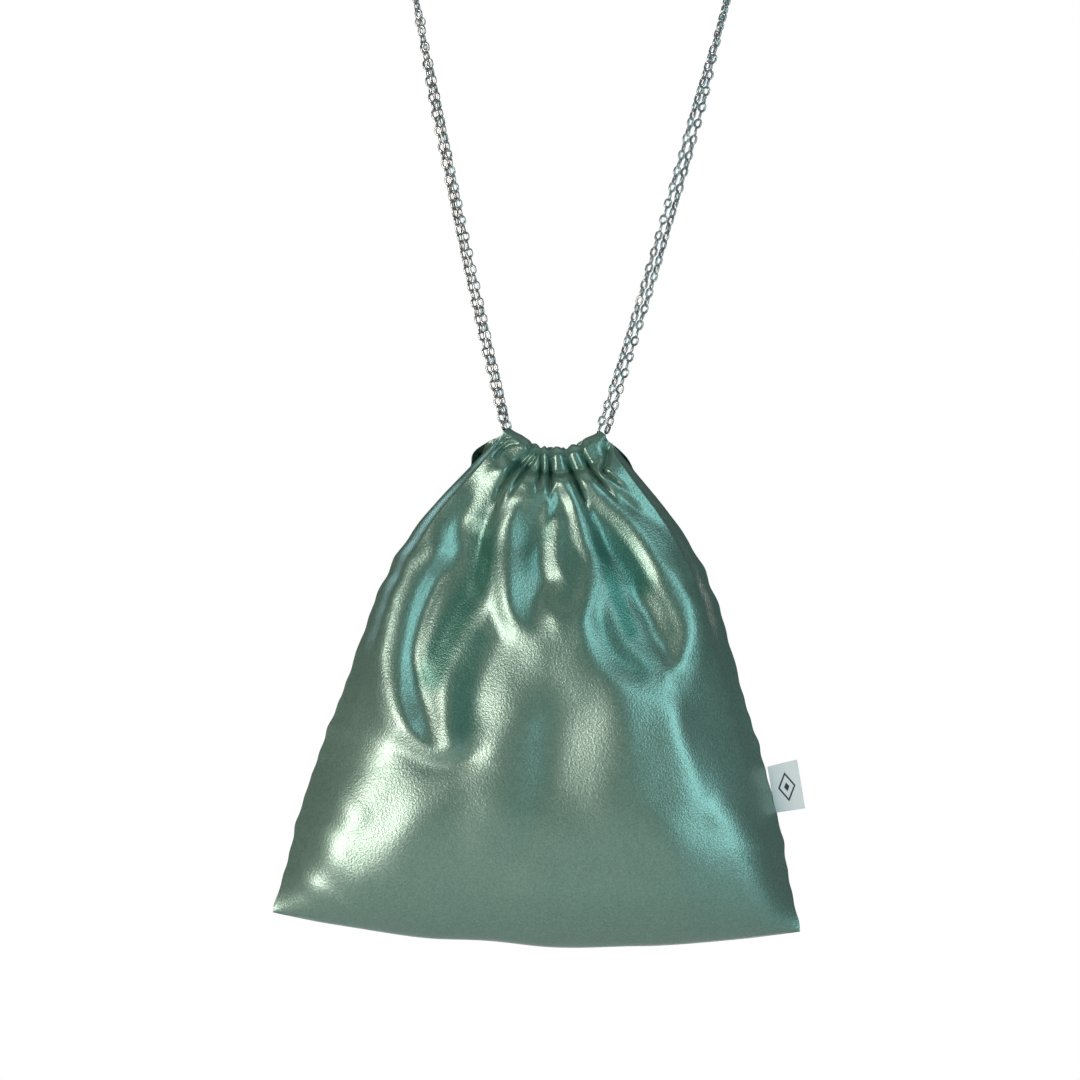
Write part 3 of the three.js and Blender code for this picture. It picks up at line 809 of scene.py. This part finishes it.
def satin_material():
    """Satin: a soft double sheen broken up by its threads, with painted shade that makes it darker,
    greener and less glossy deep in the folds.
    """
    made, nodes, links, shader = material("satin")
    shader.inputs["Metallic"].default_value = 0.5
    shader.inputs["Roughness"].default_value = 0.35
    shader.inputs["Specular IOR Level"].default_value = 1.0
    shader.inputs["Coat IOR"].default_value = 1.9
    shader.inputs["Coat Roughness"].default_value = 0.32
    where = nodes.new("ShaderNodeTexCoord")

    def noise_texture(scale, detail):
        node = nodes.new("ShaderNodeTexNoise")
        node.inputs["Scale"].default_value = scale
        node.inputs["Detail"].default_value = detail
        links.new(where.outputs["Object"], node.inputs["Vector"])
        return node.outputs["Fac"]

    def mix(factor, first, second):
        node = nodes.new("ShaderNodeMix")
        node.data_type = "RGBA"
        links.new(factor, node.inputs["Factor"])
        for socket, value in ((node.inputs["A"], first), (node.inputs["B"], second)):
            if isinstance(value, tuple):
                socket.default_value = value
            else:
                links.new(value, socket)
        return node.outputs["Result"]

    threads = noise_texture(1100, 3)
    contrast = nodes.new("ShaderNodeMapRange")
    contrast.inputs["From Min"].default_value = 0.3
    contrast.inputs["From Max"].default_value = 0.7
    links.new(threads, contrast.inputs["Value"])
    painted_shade = nodes.new("ShaderNodeAttribute")
    painted_shade.attribute_name = "painted_shade"
    # Painted shade: a darker, greener copy of the satin's colour is mixed in where the cloth lies deep in
    # folds and creases.
    flat = mix(contrast.outputs["Result"], (0.072, 0.155, 0.118, 1), (0.15, 0.27, 0.21, 1))
    painted_shade_colour = mix(contrast.outputs["Result"], (0.01, 0.1, 0.072, 1), (0.024, 0.165, 0.122, 1))
    links.new(mix(painted_shade.outputs["Fac"], flat, painted_shade_colour), shader.inputs["Base Color"])
    # Less coat sheen where shade is painted.
    coat = nodes.new("ShaderNodeMapRange")
    coat.inputs["To Min"].default_value = 1
    coat.inputs["To Max"].default_value = 0.25
    links.new(painted_shade.outputs["Fac"], coat.inputs["Value"])
    links.new(coat.outputs["Result"], shader.inputs["Coat Weight"])
    lift = nodes.new("ShaderNodeBump")
    lift.inputs["Strength"].default_value = 0.6
    lift.inputs["Distance"].default_value = 0.0003
    links.new(threads, lift.inputs["Height"])
    links.new(lift.outputs["Normal"], shader.inputs["Normal"])
    links.new(lift.outputs["Normal"], shader.inputs["Coat Normal"])
    return made


def steel_material():
    made, _, _, shader = material("chain_steel")
    shader.inputs["Base Color"].default_value = (0.42, 0.415, 0.42, 1)
    shader.inputs["Metallic"].default_value = 1
    shader.inputs["Roughness"].default_value = 0.22
    return made


def paint(obj, made):
    obj.data.materials.clear()
    obj.data.materials.append(made)


def inside_material():
    made, _, _, shader = material("satin_inside")
    shader.inputs["Base Color"].default_value = (0.1, 0.21, 0.165, 1)
    shader.inputs["Roughness"].default_value = 0.7
    return made


def thread_material():
    made, _, _, shader = material("thread")
    shader.inputs["Base Color"].default_value = (0.13, 0.26, 0.2, 1)
    shader.inputs["Roughness"].default_value = 0.55
    return made


def label_material():
    made, nodes, links, shader = material("label_ribbon")
    place = nodes.new("ShaderNodeUVMap")
    place.uv_map = "place"
    split = nodes.new("ShaderNodeSeparateXYZ")
    links.new(place.outputs["UV"], split.inputs["Vector"])

    def maths(operation, first, second=None):
        node = nodes.new("ShaderNodeMath")
        node.operation = operation
        for socket, value in zip(node.inputs, (first, second)):
            if isinstance(value, (int, float)):
                socket.default_value = value
            elif value is not None:
                links.new(value, socket)
        return node.outputs[0]

    across = maths("MULTIPLY", maths("ABSOLUTE", maths("SUBTRACT", split.outputs["X"], 0.52)), 14.2)
    down = maths("MULTIPLY", maths("ABSOLUTE", maths("SUBTRACT", split.outputs["Y"], 0.5)), 21.9)
    reach = maths("ADD", across, maths("MULTIPLY", down, 0.62))
    diamond = maths("MULTIPLY", maths("LESS_THAN", reach, 4.2), maths("GREATER_THAN", reach, 3.3))
    dot = maths("LESS_THAN", reach, 1.3)
    mark = maths("MAXIMUM", diamond, dot)
    paint_mark = nodes.new("ShaderNodeMix")
    paint_mark.data_type = "RGBA"
    paint_mark.inputs["A"].default_value = (0.6, 0.61, 0.64, 1)
    paint_mark.inputs["B"].default_value = (0.012, 0.014, 0.03, 1)
    links.new(mark, paint_mark.inputs["Factor"])
    links.new(paint_mark.outputs["Result"], shader.inputs["Base Color"])
    threads_down = nodes.new("ShaderNodeTexWave")
    threads_down.bands_direction = "Y"
    threads_down.inputs["Scale"].default_value = 22
    links.new(place.outputs["UV"], threads_down.inputs["Vector"])
    lift = nodes.new("ShaderNodeBump")
    lift.inputs["Strength"].default_value = 0.35
    lift.inputs["Distance"].default_value = 0.0001
    links.new(threads_down.outputs["Fac"], lift.inputs["Height"])
    links.new(lift.outputs["Normal"], shader.inputs["Normal"])
    shader.inputs["Roughness"].default_value = 0.5
    shader.inputs["Sheen Weight"].default_value = 0.3
    return made


satin = satin_material()
steel = steel_material()
inside = inside_material()
for piece in cloths.values():
    paint(piece, satin)
for piece in threads:
    paint(piece, thread_material())
for piece in strips:
    paint(piece, inside)
paint(ribbon, label_material())
for piece in chains:
    paint(piece, steel)

# ---- The chains' and cloths' places, baked into their meshes ----

for piece in chains:
    if piece.name.endswith("_chain"):
        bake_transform(piece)
for face, name in ((FRONT, "front"), (BACK, "back")):
    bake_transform(cloths[face])

# ---- Studio ----


def softbox(name, at, size, power, colour, aim=(0, 0, -420)):
    data = bpy.data.lights.new(name, "AREA")
    data.shape = "RECTANGLE"
    data.size, data.size_y = (s * MM for s in size)
    data.energy = power
    data.color = colour
    light = bpy.data.objects.new(name, data)
    light.location = Vector(at) * MM
    light.rotation_euler = (Vector(aim) * MM - light.location).to_track_quat("-Z", "Y").to_euler()
    bpy.context.collection.objects.link(light)


softbox("warm_key", (-1050, -1100, -640), (560, 1300), 26, (1.0, 0.94, 0.84))
softbox("cool_key", (1050, -1050, -150), (560, 1300), 9.8, (0.5, 0.94, 1.0))
softbox("low_fill", (-560, -950, -1180), (500, 400), 2, (1.0, 0.95, 0.87))
softbox("top_fill", (0, -300, 900), (900, 900), 1.6, (0.85, 1, 0.93))
softbox("back_warm", (700, 1400, -640), (560, 1300), 9, (1.0, 0.94, 0.84))
softbox("back_cool", (-700, 1400, -150), (560, 1300), 5, (0.5, 0.94, 1.0))

world = bpy.data.worlds.new("studio")
world.use_nodes = True
nodes, links = world.node_tree.nodes, world.node_tree.links
light_path = nodes.new("ShaderNodeLightPath")
strength = nodes.new("ShaderNodeMapRange")
strength.inputs["To Min"].default_value = 0.15
strength.inputs["To Max"].default_value = 1.0
links.new(light_path.outputs["Is Camera Ray"], strength.inputs["Value"])
links.new(strength.outputs["Result"], nodes["Background"].inputs["Strength"])
nodes["Background"].inputs["Color"].default_value = (1, 1, 1, 1)
bpy.context.scene.world = world
bpy.context.scene.view_settings.view_transform = "Standard"


def pale_floor():
    """A round floor below the sack."""
    radius, floor = 1500, -950
    angles = np.linspace(0, 2 * math.pi, 96)[:-1]
    rim = [(radius * math.cos(a), radius * math.sin(a), floor) for a in angles]
    piece = mesh_object("floor", rim, [tuple(range(len(rim)))], smooth=False)
    made, _, _, shader = material("floor")
    shader.inputs["Base Color"].default_value = (0.8, 0.8, 0.8, 1)
    shader.inputs["Roughness"].default_value = 0.9
    paint(piece, made)


pale_floor()
